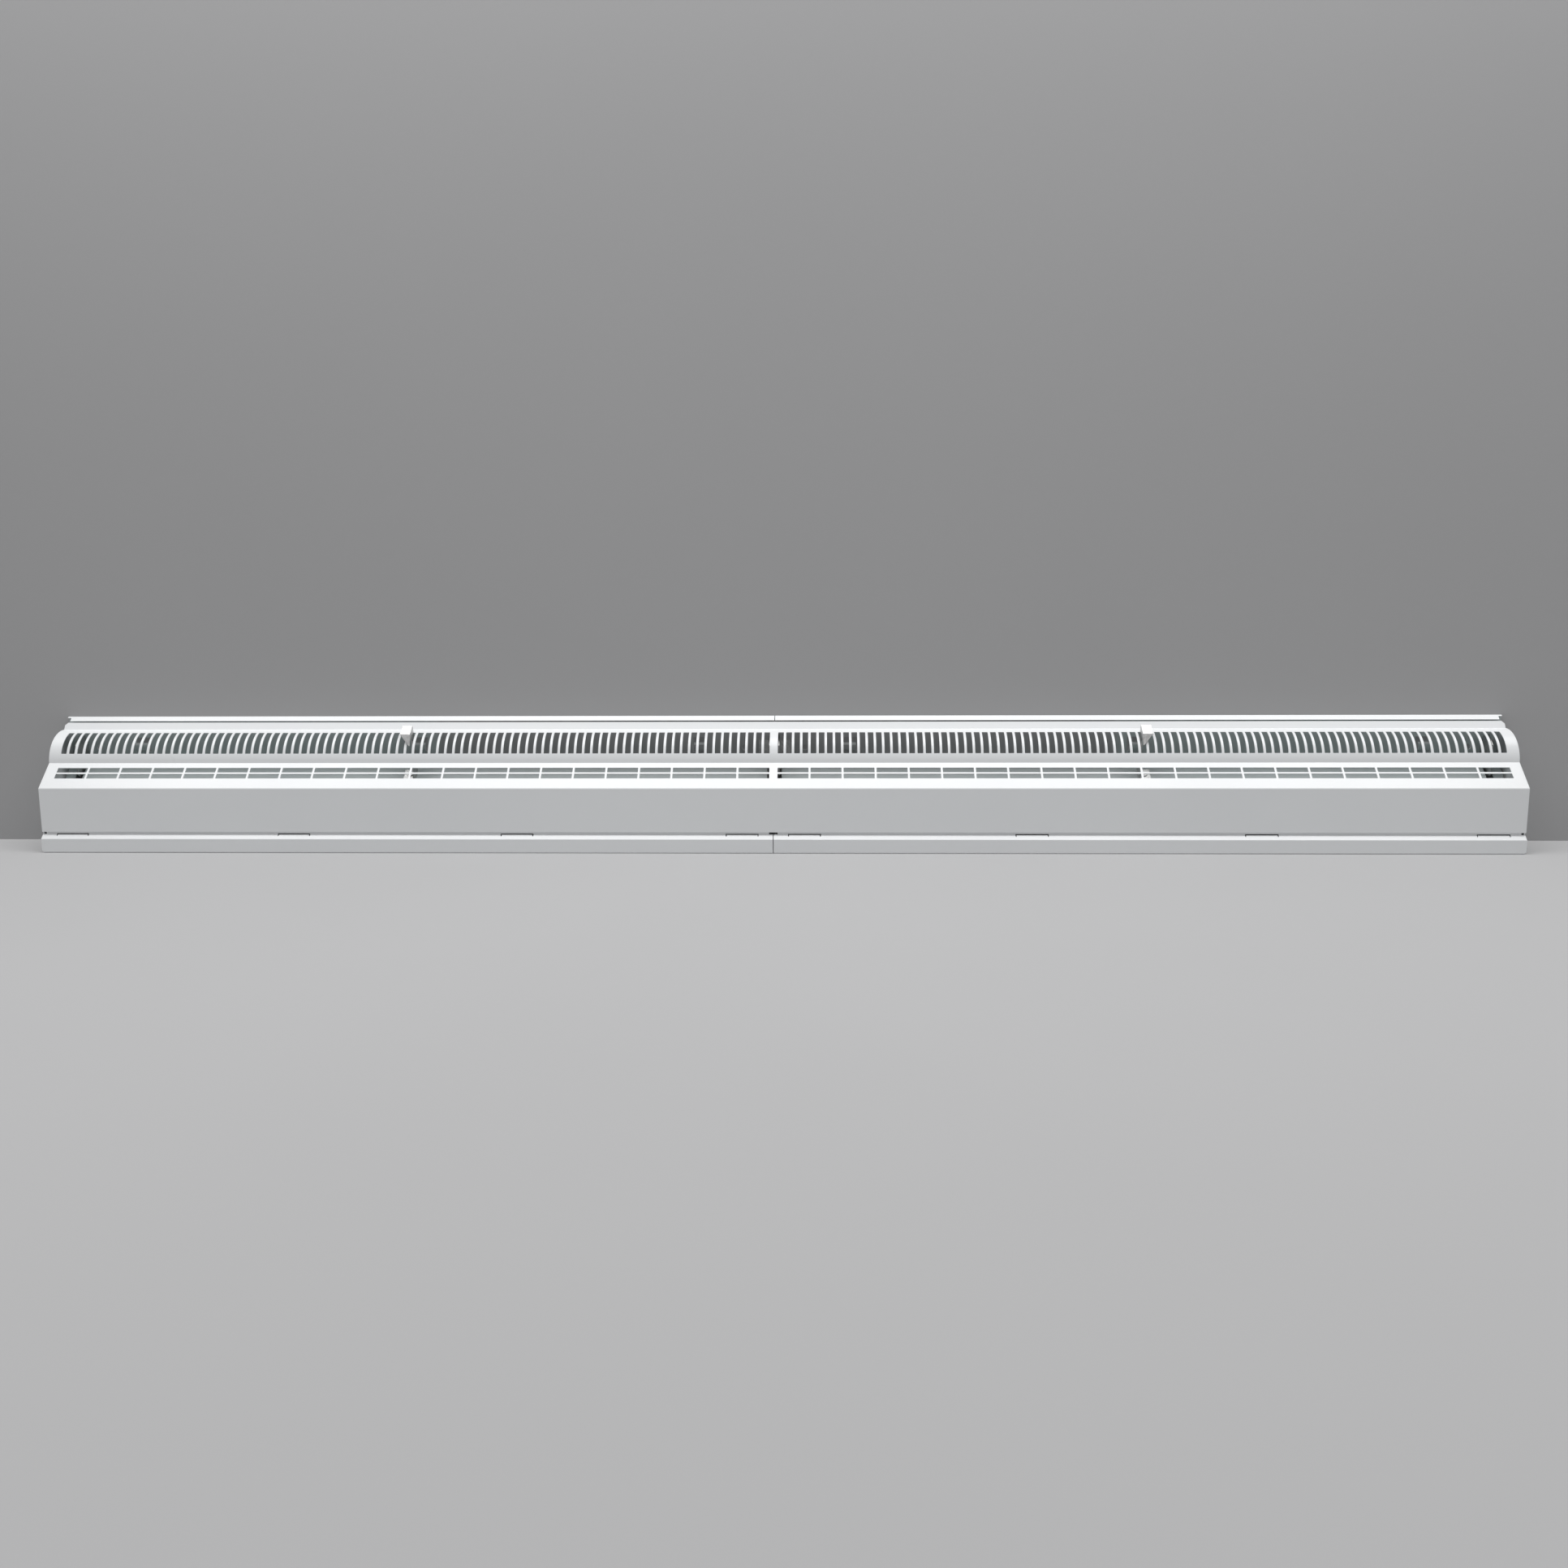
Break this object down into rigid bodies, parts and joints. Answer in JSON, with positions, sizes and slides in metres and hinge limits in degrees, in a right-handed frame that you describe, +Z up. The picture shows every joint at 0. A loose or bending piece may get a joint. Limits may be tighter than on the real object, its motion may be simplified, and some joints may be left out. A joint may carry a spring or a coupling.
{
  "type": "baseboard register",
  "caption": "Long low baseboard air register with a slotted round-and-sloped front cover, back pans and lever dampers.",
  "frame": {"origin": "middle of the base, on the floor, half way between the toe and the wall", "axes": "+X along the register, +Y to the wall, +Z up"},
  "size_m": [1.2192, 0.0572, 0.108],
  "materials": {
    "white_enamel": "smooth white baked enamel",
    "white_enamel_inside": "thin white enamel on the damper blades",
    "zinc_steel": "zinc plated"
  },
  "bodies": {
    "root": {"front_cover": "white_enamel", "back_pan_right": "white_enamel", "end_plate_right": "white_enamel", "inner_bracket_right": "zinc_steel", "outer_bracket_right": "zinc_steel", "back_pan_left": "white_enamel", "end_plate_left": "white_enamel", "inner_bracket_left": "zinc_steel", "outer_bracket_left": "zinc_steel"},
    "damper_right": {"damper_blade_right": "white_enamel_inside", "lever_right": "zinc_steel", "lever_rivets_right": "zinc_steel", "inner_pivot_pin_right": "zinc_steel", "outer_pivot_pin_right": "zinc_steel", "inner_washer_right": "zinc_steel", "outer_washer_right": "zinc_steel"},
    "damper_left": {"damper_blade_left": "white_enamel_inside", "lever_left": "zinc_steel", "lever_rivets_left": "zinc_steel", "inner_pivot_pin_left": "zinc_steel", "outer_pivot_pin_left": "zinc_steel", "inner_washer_left": "zinc_steel", "outer_washer_left": "zinc_steel"}
  },
  "joints": [
    {"name": "damper_turn_right", "type": "hinge", "parent": "root", "child": "damper_right", "pos_m": [0.3, 0.01878, 0.0713], "axis": [1, 0, 0], "range_deg": [0, 30]},
    {"name": "damper_turn_left", "type": "hinge", "parent": "root", "child": "damper_left", "pos_m": [-0.3, 0.01878, 0.0713], "axis": [1, 0, 0], "range_deg": [0, 30]}
  ]
}
